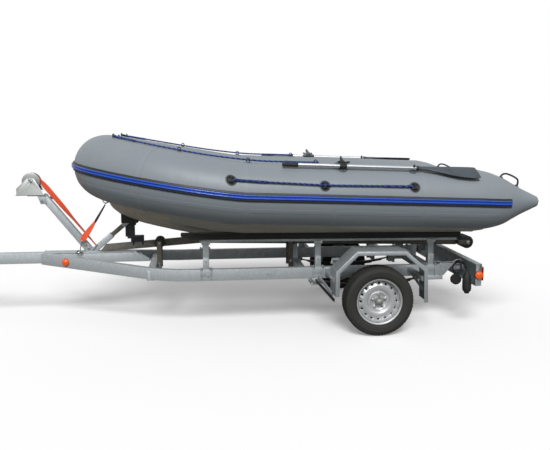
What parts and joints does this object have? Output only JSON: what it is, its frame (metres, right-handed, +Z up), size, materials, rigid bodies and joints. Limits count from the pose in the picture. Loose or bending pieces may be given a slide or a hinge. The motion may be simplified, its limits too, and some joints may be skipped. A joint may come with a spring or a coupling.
{
  "type": "inflatable boat on a road trailer",
  "caption": "Inflatable boat with tapered stern cones, grab lines and stowed oars, standing on a single-axle galvanised trailer with winch post, bunks and keel rollers.",
  "frame": {"origin": "on the ground, on the centreline, midway between the nose of the coupling and the tips of the stern cones", "axes": "+X aft, +Y starboard, +Z up"},
  "size_m": [5.5, 1.9844, 1.5852],
  "materials": {
    "tube_fabric": "coated fabric, satin",
    "hull_fabric": "coated fabric, satin",
    "deck_fabric": "coated fabric with a grained face",
    "strake_rubber": "moulded rubber, satin",
    "marine_plywood": "painted plywood, satin",
    "pad_plastic": "moulded, matt",
    "oar_aluminium": "anodised, satin",
    "blade_plastic": "moulded, matt",
    "fitting_rubber": "moulded, matt",
    "rope": "twisted rope",
    "galvanised_steel": "hot-dip galvanised, dull",
    "black_steel": "black paint, satin",
    "roller_rubber": "moulded rubber, matt",
    "bunk_carpet": "carpet over timber",
    "orange_webbing": "woven webbing",
    "zinc_steel": "zinc plated, satin",
    "cast_coupling": "zinc plated casting",
    "tyre_rubber": "matt rubber",
    "wheel_steel": "silver paint, satin",
    "wheel_plastic": "moulded, matt",
    "lamp_lens": "clear gloss lens"
  },
  "bodies": {
    "boat_and_trailer": {"bow_tube": "tube_fabric", "port_tube": "tube_fabric", "starboard_tube": "tube_fabric", "rubbing_strake": "strake_rubber", "hull_bottom": "hull_fabric", "floor_deck": "deck_fabric", "transom": "marine_plywood", "motor_pads": "pad_plastic", "seats": "marine_plywood", "oar_fittings": "fitting_rubber", "starboard_grab_line": "rope", "port_grab_line": "rope", "line_patches": "fitting_rubber", "stern_handles": "fitting_rubber", "bow_tow_ring": "zinc_steel", "drawbar": "galvanised_steel", "starboard_side_rail": "galvanised_steel", "port_side_rail": "galvanised_steel", "cross_members": "galvanised_steel", "keel_beam": "black_steel", "roller_brackets": "galvanised_steel", "bunks": "bunk_carpet", "bunk_supports": "galvanised_steel", "winch_post": "galvanised_steel", "post_strut": "galvanised_steel", "bow_support_post": "black_steel", "bow_support_block": "roller_rubber", "winch_frame": "zinc_steel", "winch_strap": "orange_webbing", "tie_down_strap": "orange_webbing", "tie_down_hook": "zinc_steel", "tow_coupling": "cast_coupling", "coupling_handle": "zinc_steel", "jockey_column": "zinc_steel", "axle_beam": "galvanised_steel", "leaf_springs": "black_steel", "spring_hangers": "galvanised_steel", "starboard_mudguard": "galvanised_steel", "port_mudguard": "galvanised_steel", "frame_brackets": "galvanised_steel", "light_board": "galvanised_steel", "lamps": "lamp_lens"},
    "starboard_wheel": {"starboard_rim": "wheel_steel", "starboard_tyre": "tyre_rubber", "starboard_hub": "cast_coupling"},
    "port_wheel": {"port_rim": "wheel_steel", "port_tyre": "tyre_rubber", "port_hub": "cast_coupling"},
    "starboard_oar": {"starboard_oar_shaft": "oar_aluminium", "starboard_oar_blade": "blade_plastic"},
    "port_oar": {"port_oar_shaft": "oar_aluminium", "port_oar_blade": "blade_plastic"},
    "jockey_leg_slider": {"jockey_leg": "zinc_steel"},
    "jockey_caster": {"jockey_fork": "zinc_steel"},
    "jockey_roller": {"jockey_wheel": "wheel_plastic"},
    "winch_reel": {"winch_drum": "zinc_steel", "winch_crank": "zinc_steel"},
    "front_rollers": {"front_keel_rollers": "roller_rubber"},
    "middle_rollers": {"middle_keel_rollers": "roller_rubber"},
    "tail_roller_body": {"tail_roller": "roller_rubber"}
  },
  "joints": [
    {"name": "starboard_wheel_spin", "type": "hinge", "parent": "boat_and_trailer", "child": "starboard_wheel", "pos_m": [1.405, 0.8, 0.28], "axis": [0, 1, 0], "continuous": true},
    {"name": "port_wheel_spin", "type": "hinge", "parent": "boat_and_trailer", "child": "port_wheel", "pos_m": [1.405, -0.8, 0.28], "axis": [0, 1, 0], "continuous": true},
    {"name": "starboard_oar_swing", "type": "hinge", "parent": "boat_and_trailer", "child": "starboard_oar", "pos_m": [1.0956, 0.84161, 1.3272], "axis": [0.0312, 0.4697, 0.8823], "range_deg": [0, 110]},
    {"name": "port_oar_swing", "type": "hinge", "parent": "boat_and_trailer", "child": "port_oar", "pos_m": [1.0956, -0.84161, 1.3272], "axis": [-0.0312, 0.4697, -0.8823], "range_deg": [0, 110]},
    {"name": "jockey_lift", "type": "slide", "parent": "boat_and_trailer", "child": "jockey_leg_slider", "axis": [0, 0, 1], "range_m": [0, 0.13]},
    {"name": "jockey_caster_turn", "type": "hinge", "parent": "jockey_leg_slider", "child": "jockey_caster", "pos_m": [-2.18, 0.084, 0.21], "axis": [0, 0, 1], "continuous": true},
    {"name": "jockey_wheel_spin", "type": "hinge", "parent": "jockey_caster", "child": "jockey_roller", "pos_m": [-2.135, 0.084, 0.1], "axis": [0, 1, 0], "continuous": true},
    {"name": "winch_turn", "type": "hinge", "parent": "boat_and_trailer", "child": "winch_reel", "pos_m": [-1.419, 0, 1.193], "axis": [0, 1, 0], "continuous": true},
    {"name": "front_roller_spin", "type": "hinge", "parent": "boat_and_trailer", "child": "front_rollers", "pos_m": [-0.352, 0, 0.6507], "axis": [0, 1, 0], "continuous": true},
    {"name": "middle_roller_spin", "type": "hinge", "parent": "boat_and_trailer", "child": "middle_rollers", "pos_m": [0.8, 0, 0.6562], "axis": [0, 1, 0], "continuous": true},
    {"name": "tail_roller_spin", "type": "hinge", "parent": "boat_and_trailer", "child": "tail_roller_body", "pos_m": [2.433, 0, 0.608], "axis": [0, 1, 0], "continuous": true}
  ]
}
